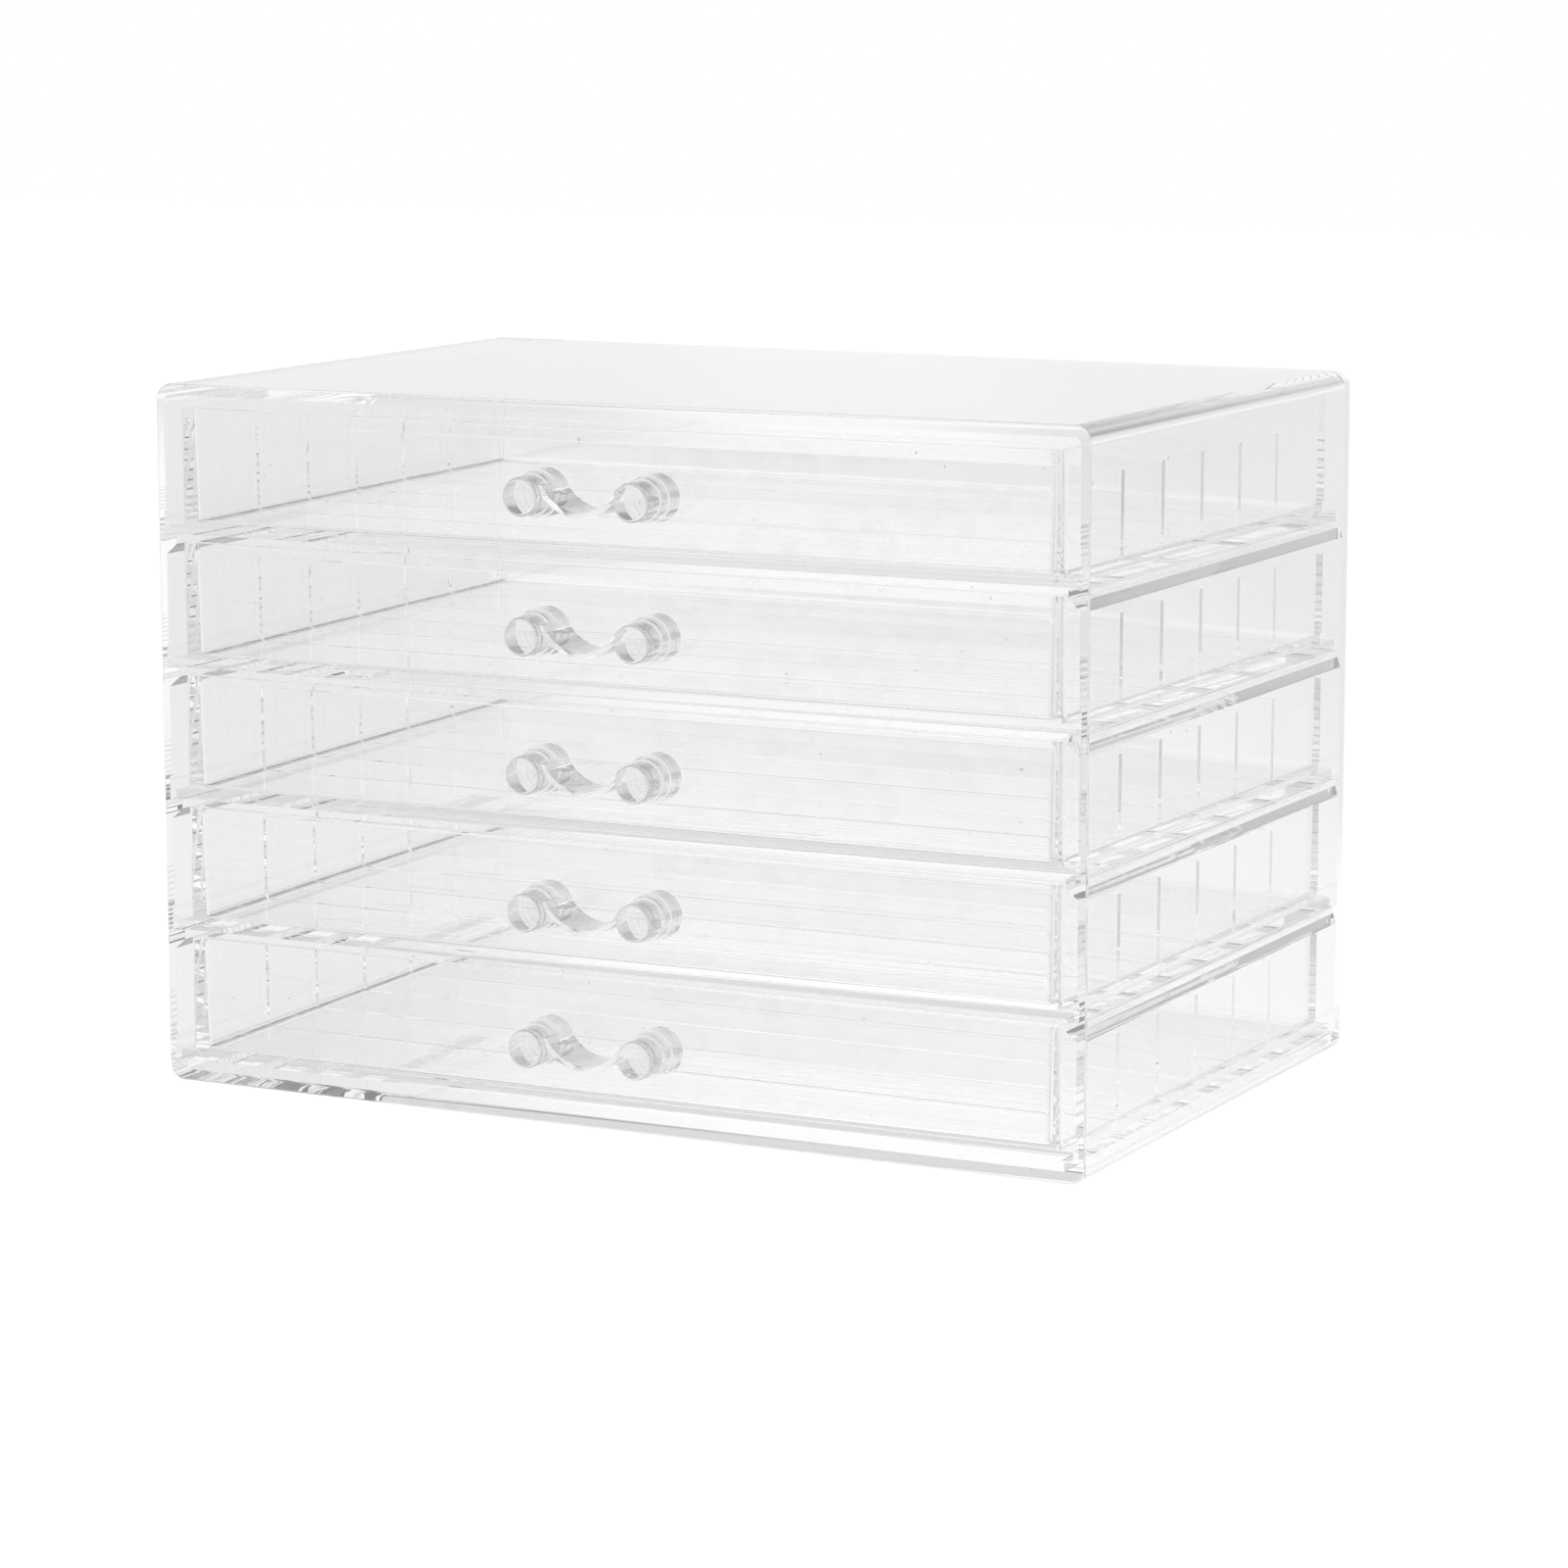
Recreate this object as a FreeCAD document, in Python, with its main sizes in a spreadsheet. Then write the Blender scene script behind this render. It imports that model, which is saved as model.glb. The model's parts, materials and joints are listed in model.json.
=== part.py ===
import FreeCAD, Part
import os
import Sketcher

# Clear drawer box for necklaces: an open-fronted case, five drawers one above the other and
# a clear handle on each. Millimetres, +Z up, the front faces -Y. The origin is the centre of
# the case's underside.

SIZES = {
    # Case: one moulding with a top, a base, two sides and a back.
    "case_width": 215.0,
    "case_depth": 140.0,
    "case_height": 150.0,
    "case_corner_radius": 3.5,
    "case_back_edge_radius": 1.0,
    "case_front_edge_radius": 0.4,
    "top_wall": 2.35,
    "base_wall": 2.5,
    "side_wall": 2.0,
    "back_wall": 2.4,
    "cavity_corner_radius": 1.5,
    # Runner steps at the base and runner rails above them, on both side walls.
    "drawer_count": 5,
    "step_height": 1.9,
    "rail_reach": 2.5,
    "rail_tip_height": 1.9,
    "rail_gusset_drop": 2.2,
    "groove_height": 5.0,
    "groove_depth": 0.5,
    # Clearances between the case and the drawers.
    "top_headroom": 1.25,
    "drawer_gap": 1.7,
    "runner_clearance": 0.2,
    "runner_wall_gap": 0.8,
    "tray_rail_gap": 1.2,
    "tray_setback": 0.4,
    "tray_back_gap": 1.1,
    # Drawer tray: one moulding with its runners and its dividing fins.
    "tray_front_wall": 2.2,
    "tray_side_wall": 2.1,
    "tray_back_wall": 2.0,
    "tray_floor": 2.3,
    "tray_draft": 1.2,
    "tray_corner_radius": 1.0,
    "tray_cavity_radius": 1.4,
    "tray_floor_fillet": 0.9,
    "tray_rim_radius": 0.35,
    "runner_height": 1.9,
    "fin_count": 5,
    "fin_thickness": 1.55,
    "fin_top_radius": 0.35,
    "fin_drop": 6.2,
    "end_compartment": 24.2,
    # Handle: two turned posts and a curved web between them.
    "post_spacing": 25.4,
    "post_length": 12.0,
    "post_head_radius": 4.0,
    "post_head_length": 5.2,
    "post_head_bevel": 0.7,
    "post_waist_radius": 4.5,
    "post_waist_length": 2.6,
    "post_foot_radius": 5.0,
    "web_thickness": 1.2,
    "web_setback": 2.0,
    "web_drop": 3.9,
    "web_rise": 0.4,
    "web_top": 2.4,
    "handle_bond_gap": 0.05,
}

# What follows from the sizes above, each worked out in one place.
FITS = {
    "cavity_half": "Sizes.case_width / 2 - Sizes.side_wall",
    "cavity_depth": "Sizes.case_depth - Sizes.back_wall",
    "first_level": "Sizes.base_wall + Sizes.step_height",
    "level_pitch": "(Sizes.case_height - Sizes.top_wall - Sizes.top_headroom"
                   " - Fits.first_level) / Sizes.drawer_count",
    "rail_tip": "Fits.cavity_half - Sizes.rail_reach",
    "rail_root": "Fits.cavity_half + Sizes.side_wall / 2",
    "groove_face": "Fits.cavity_half + Sizes.groove_depth",
    "groove_mouth": "Fits.cavity_half - Sizes.rail_reach / 2",
    "tray_half": "Fits.rail_tip - Sizes.tray_rail_gap",
    "tray_depth": "Fits.cavity_depth - Sizes.tray_setback - Sizes.tray_back_gap",
    "tray_height": "Fits.level_pitch - Sizes.drawer_gap",
    "tray_front": "Sizes.tray_setback - Sizes.case_depth / 2",
    "runner_half": "Fits.cavity_half - Sizes.runner_wall_gap",
    "runner_root": "Fits.tray_half - Sizes.tray_side_wall / 2",
    "hollow_half": "Fits.tray_half - Sizes.tray_side_wall",
    "hollow_back": "Fits.tray_depth - Sizes.tray_back_wall",
    "hollow_height": "Fits.tray_height - Sizes.tray_floor",
    "fin_half": "Fits.tray_half - Sizes.tray_side_wall / 2",
    "fin_top": "Fits.tray_height - Sizes.fin_drop",
    "fin_root": "Sizes.tray_floor / 2",
    "first_fin": "Sizes.tray_front_wall + Sizes.end_compartment",
    "fin_pitch": "(Fits.hollow_back - Sizes.end_compartment - Sizes.fin_thickness"
                 " - Fits.first_fin) / (Sizes.fin_count - 1)",
    "post_foot_length": "Sizes.post_length - Sizes.post_head_length - Sizes.post_waist_length",
    "web_half_span": "Sizes.post_spacing / 2 - Sizes.post_head_radius",
    "web_sag": "Sizes.web_drop + Sizes.web_rise",
    "web_radius": "(Fits.web_half_span ^ 2 + Fits.web_sag ^ 2) / (2 * Fits.web_sag)",
    "web_centre": "Fits.web_radius - Sizes.web_drop",
    "web_inner_radius": "Fits.web_radius - Sizes.web_thickness",
    "handle_back": "Fits.tray_front - Sizes.handle_bond_gap",
    "handle_height": "Fits.tray_height / 2",
}

CLOSE = 0.001

doc = FreeCAD.newDocument("necklace_drawer_box")


def make_sheet(name, cells):
    """A spreadsheet with one named cell a row."""
    sheet = doc.addObject("Spreadsheet::Sheet", name)
    for row, (alias, content) in enumerate(cells.items(), start=1):
        sheet.set(f"A{row}", alias.replace("_", " "))
        sheet.set(f"B{row}", content)
        sheet.setAlias(f"B{row}", alias)
    return sheet


sizes = make_sheet("Sizes", {alias: str(value) for alias, value in SIZES.items()})
own_cell = {alias: "=" + text.replace("Fits.", "") for alias, text in FITS.items()}
fits = make_sheet("Fits", own_cell)
doc.recompute()


def value(expression):
    """The number that an expression gives now."""
    return float(sizes.evalExpression(expression))


def bind(thing, prop, expression):
    thing.setExpression(prop, expression)


def origin_plane(body, role):
    return next(item for item in body.Origin.OriginFeatures if item.Role == role)


def new_body(label):
    body = doc.addObject("PartDesign::Body", label)
    body.Label = label
    return body


def new_sketch(body, name, role, **offsets):
    """A sketch on one of the body's own planes, shifted by expressions for x, y or z."""
    sketch = body.newObject("Sketcher::SketchObject", name)
    sketch.AttachmentSupport = [(origin_plane(body, role), "")]
    sketch.MapMode = "FlatFace"
    for axis, expression in offsets.items():
        bind(sketch, f"AttachmentOffset.Base.{axis}", expression)
    return sketch


def dimension(sketch, kind, geometry, point, expression):
    """A dimension from the sketch's origin to a point, bound to an expression."""
    index = sketch.addConstraint(
        Sketcher.Constraint(kind, -1, 1, geometry, point, value(expression)))
    bind(sketch, f"Constraints[{index}]", expression)


def place_point(sketch, geometry, point, x, y):
    dimension(sketch, "DistanceX", geometry, point, x)
    dimension(sketch, "DistanceY", geometry, point, y)


def add_polygon(sketch, corners):
    """A closed outline of straight lines through corners given as pairs of expressions."""
    points = [FreeCAD.Vector(value(x), value(y), 0) for x, y in corners]
    lines = []
    for start, end in zip(points, points[1:] + points[:1]):
        lines.append(sketch.addGeometry(Part.LineSegment(start, end)))
    for line, following in zip(lines, lines[1:] + lines[:1]):
        sketch.addConstraint(Sketcher.Constraint("Coincident", line, 2, following, 1))
    for line, (x, y) in zip(lines, corners):
        place_point(sketch, line, 1, x, y)


def add_rounded_box(sketch, left, right, low, high, radius):
    """A rectangle with four rounded corners, its sides and radius given as expressions."""
    centres = [
        (f"{right} - {radius}", f"{low} + {radius}"),
        (f"{right} - {radius}", f"{high} - {radius}"),
        (f"{left} + {radius}", f"{high} - {radius}"),
        (f"{left} + {radius}", f"{low} + {radius}"),
    ]
    quarter = 1.5707963267948966
    size = value(radius)
    arcs = []
    for turn, (x, y) in enumerate(centres, start=-1):
        circle = Part.Circle(FreeCAD.Vector(value(x), value(y), 0), FreeCAD.Vector(0, 0, 1), size)
        arc = Part.ArcOfCircle(circle, turn * quarter, (turn + 1) * quarter)
        arcs.append(sketch.addGeometry(arc))
    for arc, following in zip(arcs, arcs[1:] + arcs[:1]):
        start = sketch.getPoint(arc, 2)
        end = sketch.getPoint(following, 1)
        side = sketch.addGeometry(Part.LineSegment(start, end))
        sketch.addConstraint(Sketcher.Constraint("Tangent", arc, 2, side, 1))
        sketch.addConstraint(Sketcher.Constraint("Tangent", side, 2, following, 1))
    for arc, (x, y) in zip(arcs, centres):
        place_point(sketch, arc, 3, x, y)
        index = sketch.addConstraint(Sketcher.Constraint("Radius", arc, size))
        bind(sketch, f"Constraints[{index}]", radius)


def extrude(body, kind, name, sketch, length, symmetric=False, reverse=False, draft=None):
    """A Pad or a Pocket of a sketch, its length and draft given as expressions."""
    feature = body.newObject(f"PartDesign::{kind}", name)
    feature.Profile = sketch
    feature.SideType = "Symmetric" if symmetric else "One side"
    feature.Reversed = reverse
    bind(feature, "Length", length)
    if draft:
        bind(feature, "TaperAngle", draft)
    doc.recompute()
    return feature


def repeat(body, name, feature, sketch, axis, spacing, count):
    """Copies of a feature along one of its sketch's axes."""
    pattern = body.newObject("PartDesign::LinearPattern", name)
    pattern.Originals = [feature]
    pattern.Direction = (sketch, [axis])
    pattern.Mode = "Spacing"
    bind(pattern, "Offset", spacing)
    bind(pattern, "Occurrences", count)
    body.Tip = pattern
    doc.recompute()
    return pattern


def round_edges(body, name, base, radius, chosen):
    """A fillet on every edge of the base feature that the test picks."""
    names = [f"Edge{number}" for number, edge in enumerate(base.Shape.Edges, start=1)
             if chosen(edge)]
    fillet = body.newObject("PartDesign::Fillet", name)
    fillet.Base = (base, names)
    bind(fillet, "Radius", radius)
    doc.recompute()
    return fillet


def lies_at(edge, axis, place):
    """Whether an edge lies wholly at one place along an axis."""
    box = edge.BoundBox
    low = getattr(box, f"{axis}Min")
    high = getattr(box, f"{axis}Max")
    return abs(low - place) < CLOSE and abs(high - place) < CLOSE


def both_sides(corners):
    """The corners as given, and again mirrored to the left-hand side."""
    return [corners, [(f"-({x})", y) for x, y in corners]]


def make_case():
    """The case: a rounded box, hollow from the front, with runner steps, rails and grooves."""
    body = new_body("case")
    outline = new_sketch(body, "case_outline", "XZ_Plane")
    add_rounded_box(outline, "-Sizes.case_width / 2", "Sizes.case_width / 2",
                    "0", "Sizes.case_height", "Sizes.case_corner_radius")
    block = extrude(body, "Pad", "case_block", outline, "Sizes.case_depth", symmetric=True)
    front = -value("Sizes.case_depth / 2")
    back_round = round_edges(body, "back_edge_round", block, "Sizes.case_back_edge_radius",
                             lambda edge: lies_at(edge, "Y", -front))
    round_edges(body, "front_edge_round", back_round, "Sizes.case_front_edge_radius",
                lambda edge: lies_at(edge, "Y", front))

    mouth = new_sketch(body, "cavity_outline", "XZ_Plane", z="Sizes.case_depth / 2")
    add_rounded_box(mouth, "-Fits.cavity_half", "Fits.cavity_half", "Sizes.base_wall",
                    "Sizes.case_height - Sizes.top_wall", "Sizes.cavity_corner_radius")
    extrude(body, "Pocket", "cavity", mouth, "Fits.cavity_depth")

    grooves = new_sketch(body, "groove_section", "XZ_Plane", z="Sizes.case_depth / 2")
    groove_top = "Fits.first_level + Sizes.groove_height"
    for side in both_sides([("Fits.groove_mouth", "Fits.first_level"),
                            ("Fits.groove_face", "Fits.first_level"),
                            ("Fits.groove_face", groove_top),
                            ("Fits.groove_mouth", groove_top)]):
        add_polygon(grooves, side)
    groove = extrude(body, "Pocket", "groove", grooves, "Fits.cavity_depth")
    repeat(body, "grooves", groove, grooves, "V_Axis", "Fits.level_pitch", "Sizes.drawer_count")

    rail_length = "Sizes.case_depth - Sizes.back_wall / 2"
    steps = new_sketch(body, "step_section", "XZ_Plane", z="Sizes.case_depth / 2")
    for side in both_sides([("Fits.rail_tip", "Sizes.base_wall / 2"),
                            ("Fits.rail_root", "Sizes.base_wall / 2"),
                            ("Fits.rail_root", "Fits.first_level"),
                            ("Fits.rail_tip", "Fits.first_level")]):
        add_polygon(steps, side)
    extrude(body, "Pad", "base_steps", steps, rail_length, reverse=True)

    rails = new_sketch(body, "rail_section", "XZ_Plane", z="Sizes.case_depth / 2")
    rail_top = "Fits.first_level + Fits.level_pitch"
    tip_under = f"{rail_top} - Sizes.rail_tip_height"
    gusset_low = f"{tip_under} - Sizes.rail_gusset_drop"
    for side in both_sides([("Fits.rail_tip", rail_top),
                            ("Fits.rail_tip", tip_under),
                            ("Fits.cavity_half", gusset_low),
                            ("Fits.rail_root", gusset_low),
                            ("Fits.rail_root", rail_top)]):
        add_polygon(rails, side)
    rail = extrude(body, "Pad", "rail", rails, rail_length, reverse=True)
    repeat(body, "rails", rail, rails, "V_Axis", "Fits.level_pitch", "Sizes.drawer_count - 1")
    return body


def make_tray(number):
    """A drawer tray: a drafted open box on two runners, with fins across it."""
    body = new_body(f"drawer_tray_{number}")
    plan = new_sketch(body, "tray_plan", "XY_Plane")
    add_rounded_box(plan, "-Fits.tray_half", "Fits.tray_half", "0", "Fits.tray_depth",
                    "Sizes.tray_corner_radius")
    extrude(body, "Pad", "tray_block", plan, "Fits.tray_height")

    runners = new_sketch(body, "runner_section", "XZ_Plane")
    for side in both_sides([("Fits.runner_root", "0"),
                            ("Fits.runner_half", "0"),
                            ("Fits.runner_half", "Sizes.runner_height"),
                            ("Fits.runner_root", "Sizes.runner_height")]):
        add_polygon(runners, side)
    extrude(body, "Pad", "runners", runners, "Fits.tray_depth", reverse=True)

    hollow_plan = new_sketch(body, "hollow_plan", "XY_Plane", z="Fits.tray_height")
    add_rounded_box(hollow_plan, "-Fits.hollow_half", "Fits.hollow_half",
                    "Sizes.tray_front_wall", "Fits.hollow_back", "Sizes.tray_cavity_radius")
    hollow = extrude(body, "Pocket", "hollow", hollow_plan, "Fits.hollow_height",
                     draft="-Sizes.tray_draft")
    floor = value("Sizes.tray_floor")
    rim = value("Fits.tray_height")
    floor_fillet = round_edges(body, "floor_fillet", hollow, "Sizes.tray_floor_fillet",
                               lambda edge: lies_at(edge, "Z", floor))
    round_edges(body, "rim_round", floor_fillet, "Sizes.tray_rim_radius",
                lambda edge: lies_at(edge, "Z", rim))

    fins = new_sketch(body, "fin_section", "YZ_Plane")
    add_rounded_box(fins, "Fits.first_fin", "Fits.first_fin + Sizes.fin_thickness",
                    "Fits.fin_root", "Fits.fin_top", "Sizes.fin_top_radius")
    fin = extrude(body, "Pad", "fin", fins, "2 * Fits.fin_half", symmetric=True)
    repeat(body, "fins", fin, fins, "H_Axis", "Fits.fin_pitch", "Sizes.fin_count")
    return body


def make_handle(number):
    """A handle: two stepped posts square to the drawer front, joined by a curved web."""
    body = new_body(f"drawer_handle_{number}")
    section = new_sketch(body, "post_section", "XY_Plane", x="Sizes.post_spacing / 2")
    foot_end = "-Fits.post_foot_length"
    waist_end = "Sizes.post_head_length - Sizes.post_length"
    add_polygon(section, [
        ("0", "0"),
        ("Sizes.post_foot_radius", "0"),
        ("Sizes.post_foot_radius", foot_end),
        ("Sizes.post_waist_radius", foot_end),
        ("Sizes.post_waist_radius", waist_end),
        ("Sizes.post_head_radius", waist_end),
        ("Sizes.post_head_radius", "Sizes.post_head_bevel - Sizes.post_length"),
        ("Sizes.post_head_radius - Sizes.post_head_bevel", "-Sizes.post_length"),
        ("0", "-Sizes.post_length"),
    ])
    post = body.newObject("PartDesign::Revolution", "post")
    post.Profile = section
    post.ReferenceAxis = (section, ["V_Axis"])
    post.Angle = 360
    doc.recompute()
    pair = body.newObject("PartDesign::Mirrored", "posts")
    pair.Originals = [post]
    pair.MirrorPlane = (origin_plane(body, "YZ_Plane"), [""])
    body.Tip = pair
    doc.recompute()

    web = new_sketch(body, "web_section", "XZ_Plane")
    add_web_outline(web)
    extrude(body, "Pad", "web", web, "Sizes.post_length - Sizes.web_setback")
    return body


def add_web_outline(sketch):
    """The web's section: two arcs on one centre, with short level ends inside the posts."""
    centre = FreeCAD.Vector(0, value("Fits.web_centre"), 0)
    ends = {"under": ("Fits.web_radius", "Sizes.web_rise"),
            "upper": ("Fits.web_inner_radius", "Sizes.web_top")}
    arcs = {}
    for name, (radius, height) in ends.items():
        size = value(radius)
        drop = value(height) - centre.y
        across = (size ** 2 - drop ** 2) ** 0.5
        circle = Part.Circle(centre, FreeCAD.Vector(0, 0, 1), size)
        left = circle.parameter(FreeCAD.Vector(-across, value(height), 0))
        right = circle.parameter(FreeCAD.Vector(across, value(height), 0))
        arc = sketch.addGeometry(Part.ArcOfCircle(circle, left, right))
        place_point(sketch, arc, 3, "0", "Fits.web_centre")
        index = sketch.addConstraint(Sketcher.Constraint("Radius", arc, size))
        bind(sketch, f"Constraints[{index}]", radius)
        for point in (1, 2):
            dimension(sketch, "DistanceY", arc, point, height)
        arcs[name] = arc
    for side, point in ((-1, 1), (1, 2)):
        post_x = f"{side} * Sizes.post_spacing / 2"
        low_end = sketch.getPoint(arcs["under"], point)
        high_end = sketch.getPoint(arcs["upper"], point)
        low_root = FreeCAD.Vector(value(post_x), low_end.y, 0)
        high_root = FreeCAD.Vector(value(post_x), high_end.y, 0)
        low_line = sketch.addGeometry(Part.LineSegment(low_end, low_root))
        root_line = sketch.addGeometry(Part.LineSegment(low_root, high_root))
        high_line = sketch.addGeometry(Part.LineSegment(high_root, high_end))
        joins = ((arcs["under"], point, low_line, 1), (low_line, 2, root_line, 1),
                 (root_line, 2, high_line, 1), (high_line, 2, arcs["upper"], point))
        for join in joins:
            sketch.addConstraint(Sketcher.Constraint("Coincident", *join))
        sketch.addConstraint(Sketcher.Constraint("Horizontal", low_line))
        sketch.addConstraint(Sketcher.Constraint("Horizontal", high_line))
        dimension(sketch, "DistanceX", root_line, 1, post_x)
        dimension(sketch, "DistanceX", root_line, 2, post_x)


def check_document():
    """Stops if any object of the document failed or a piece isn't one valid solid."""
    for item in doc.Objects:
        if "Invalid" in item.State or "Error" in item.State:
            raise RuntimeError(f"{item.Name} failed: {item.State}")
    for piece in pieces:
        shape = piece.Shape
        if shape.isNull() or not shape.isValid() or len(shape.Solids) != 1:
            raise RuntimeError(f"{piece.Label} isn't one valid solid")


pieces = [make_case()]
for number in range(1, SIZES["drawer_count"] + 1):
    # Drawer 1 is the top one, so its level is the highest.
    level = f"Fits.first_level + (Sizes.drawer_count - {number}) * Fits.level_pitch"
    floor_level = f"{level} + Sizes.runner_clearance"
    tray = make_tray(number)
    bind(tray, "Placement.Base.y", "Fits.tray_front")
    bind(tray, "Placement.Base.z", floor_level)
    handle = make_handle(number)
    bind(handle, "Placement.Base.y", "Fits.handle_back")
    bind(handle, "Placement.Base.z", f"{floor_level} + Fits.handle_height")
    pieces += [tray, handle]

doc.recompute()
check_document()

os.makedirs("parts", exist_ok=True)
for piece in pieces:
    box = piece.Shape.BoundBox
    print(f"{piece.Label}: {piece.Shape.Volume / 1000:.2f} cm3, "
          f"x {box.XMin:.2f} to {box.XMax:.2f}, y {box.YMin:.2f} to {box.YMax:.2f}, "
          f"z {box.ZMin:.2f} to {box.ZMax:.2f}")
    piece.Shape.exportStep(f"parts/{piece.Label}.step")
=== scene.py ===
import json
import math

import bpy
from bpy.props import FloatProperty, FloatVectorProperty, IntProperty, PointerProperty
from bpy.types import Operator, Panel, PropertyGroup
from mathutils import Matrix, Vector


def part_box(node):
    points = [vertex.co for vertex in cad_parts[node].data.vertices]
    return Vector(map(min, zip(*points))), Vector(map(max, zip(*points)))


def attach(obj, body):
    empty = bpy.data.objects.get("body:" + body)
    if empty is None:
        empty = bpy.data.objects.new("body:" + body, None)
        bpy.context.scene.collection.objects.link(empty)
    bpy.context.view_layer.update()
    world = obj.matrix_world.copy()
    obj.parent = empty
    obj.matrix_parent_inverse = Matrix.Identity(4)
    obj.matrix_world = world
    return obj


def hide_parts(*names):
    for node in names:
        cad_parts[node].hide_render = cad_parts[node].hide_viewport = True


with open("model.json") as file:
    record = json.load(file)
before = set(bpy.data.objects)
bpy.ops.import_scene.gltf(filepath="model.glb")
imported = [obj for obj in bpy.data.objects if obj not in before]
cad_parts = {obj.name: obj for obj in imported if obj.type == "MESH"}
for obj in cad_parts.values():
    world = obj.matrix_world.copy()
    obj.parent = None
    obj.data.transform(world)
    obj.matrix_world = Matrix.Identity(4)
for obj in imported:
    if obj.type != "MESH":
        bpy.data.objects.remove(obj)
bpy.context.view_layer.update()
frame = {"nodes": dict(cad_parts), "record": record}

# Clear drawer box for necklaces: an open-fronted case, five drawers with fins across them and
# a clear handle on each. Metres, +Z up, the front faces -Y. The frame gives every piece's place.

bl_info = {
    "name": "Clear Drawer Box",
    "version": (1, 0, 0),
    "blender": (4, 5, 0),
    "location": "View3D > Sidebar > Drawer Box",
    "description": "A clear case with five necklace drawers and their handles",
    "category": "Add Mesh",
}

CASE_NODE = "case"
TRAY_PREFIX = "drawer_tray_"
HANDLE_PREFIX = "drawer_handle_"
DRAWER_NUMBERS = sorted(int(name[len(TRAY_PREFIX):]) for name in frame["nodes"]
                        if name.startswith(TRAY_PREFIX))
BODY_OF = {node: body for body, nodes in frame["record"]["behaviour"]["bodies"].items()
           for node in nodes}
PLASTIC_OF = {"clear_case": "case_plastic", "clear_tray": "tray_plastic",
              "clear_handle": "handle_plastic"}
SIDES = (-1, 1)
CLOSE = 0.00001
MOSTLY = 0.9
FLAT_DEGREES = 0.2
SHARP_DEGREES = 32.0
HANDLE_SHARP_DEGREES = 30.0
SENSOR_WIDTH = 36.0
NEAREST_SEEN = 0.01
FARTHEST_SEEN = 100.0
MOST_BOUNCES = 64
MOST_CLEAR_FACES = 48
MOST_MATT_BOUNCES = 3

# Heights are sines of the rise above the floor, and an area's edge is a part of its size.
HORIZON = (0.0, 0.2)
GAP_FOOT = (0.3, 0.45)
OVERHEAD_FOOT = (0.7, 0.85)
AREA_EDGE = (1.25, 0.8)
FLOOR_WIDTH = 6.0
FLOOR_DROP = 0.0002
FLOOR_PAINT = 0.2
# Ends of the painted pool of light on the floor: along the view behind the object, and out to
# its left and right.
POOL_BACK = (0.1, 0.7)
POOL_LEFT = (-0.11, 0.01)
POOL_RIGHT = (0.07, 0.19)


def length(name, description, default):
    return FloatProperty(name=name, description=description, default=default, min=0.0,
                         precision=5, unit="LENGTH", subtype="DISTANCE")


def angle(name, description, degrees):
    return FloatProperty(name=name, description=description, default=math.radians(degrees),
                         unit="ROTATION", subtype="ANGLE")


def share(name, description, default):
    return FloatProperty(name=name, description=description, default=default, min=0.0,
                         precision=4)


def count(name, description, default):
    return IntProperty(name=name, description=description, default=default, min=1)


class CaseSizes(PropertyGroup):
    """The case's walls, rails and roundings."""
    corner_radius: length("Corner radius", "Rounding of the four long outer corners", 0.0035)
    back_radius: length("Back edge radius", "Rounding round the back face", 0.001)
    front_radius: length("Front edge radius", "Rounding round the open front", 0.0004)
    cavity_radius: length("Cavity radius", "Rounding of the long inner corners", 0.0015)
    top_wall: length("Top wall", "Thickness of the top", 0.00235)
    base_wall: length("Base wall", "Thickness of the base", 0.0025)
    side_wall: length("Side wall", "Thickness of each side", 0.002)
    back_wall: length("Back wall", "Thickness of the back", 0.0024)
    rail_reach: length("Rail reach", "How far a rail stands out from its side wall", 0.0025)
    rail_tip: length("Rail tip", "Height of a rail's inner edge", 0.0019)
    gusset_drop: length("Gusset drop", "How far the slope under a rail runs down", 0.0022)
    runner_clearance: length("Runner clearance", "Gap between a rail and a runner", 0.0002)
    groove_height: length("Groove height", "Height of the groove above each rail", 0.005)
    groove_depth: length("Groove depth", "How deep the groove is cut into the side", 0.0005)
    edge_radius: length("Edge radius", "Rounding of the small moulded edges", 0.00018)


class TraySizes(PropertyGroup):
    """A drawer tray's walls, runners and fins."""
    runner_reach: length("Runner reach", "How far a runner stands out from its side", 0.0029)
    runner_height: length("Runner height", "Height of a runner", 0.0019)
    corner_radius: length("Corner radius", "Rounding of the upright corners", 0.001)
    cavity_radius: length("Cavity radius", "Rounding of the upright inner corners", 0.0014)
    floor_fillet: length("Floor fillet", "Rounding where the walls meet the floor", 0.0009)
    front_wall: length("Front wall", "Thickness of the front", 0.0022)
    side_wall: length("Side wall", "Thickness of each side", 0.0021)
    back_wall: length("Back wall", "Thickness of the back", 0.002)
    floor: length("Floor", "Thickness of the floor", 0.0023)
    draft: angle("Draft", "Lean of the inner walls for the mould", 1.2)
    fin_count: count("Fins", "Number of fins across a tray", 5)
    fin_thickness: length("Fin thickness", "Thickness of a fin", 0.00155)
    fin_drop: length("Fin drop", "How far the fins end below the rim", 0.0062)
    end_compartment: length("End channel", "Depth of the first and last channel", 0.0242)
    edge_radius: length("Edge radius", "Rounding of the rim and the fins", 0.00035)


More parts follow.
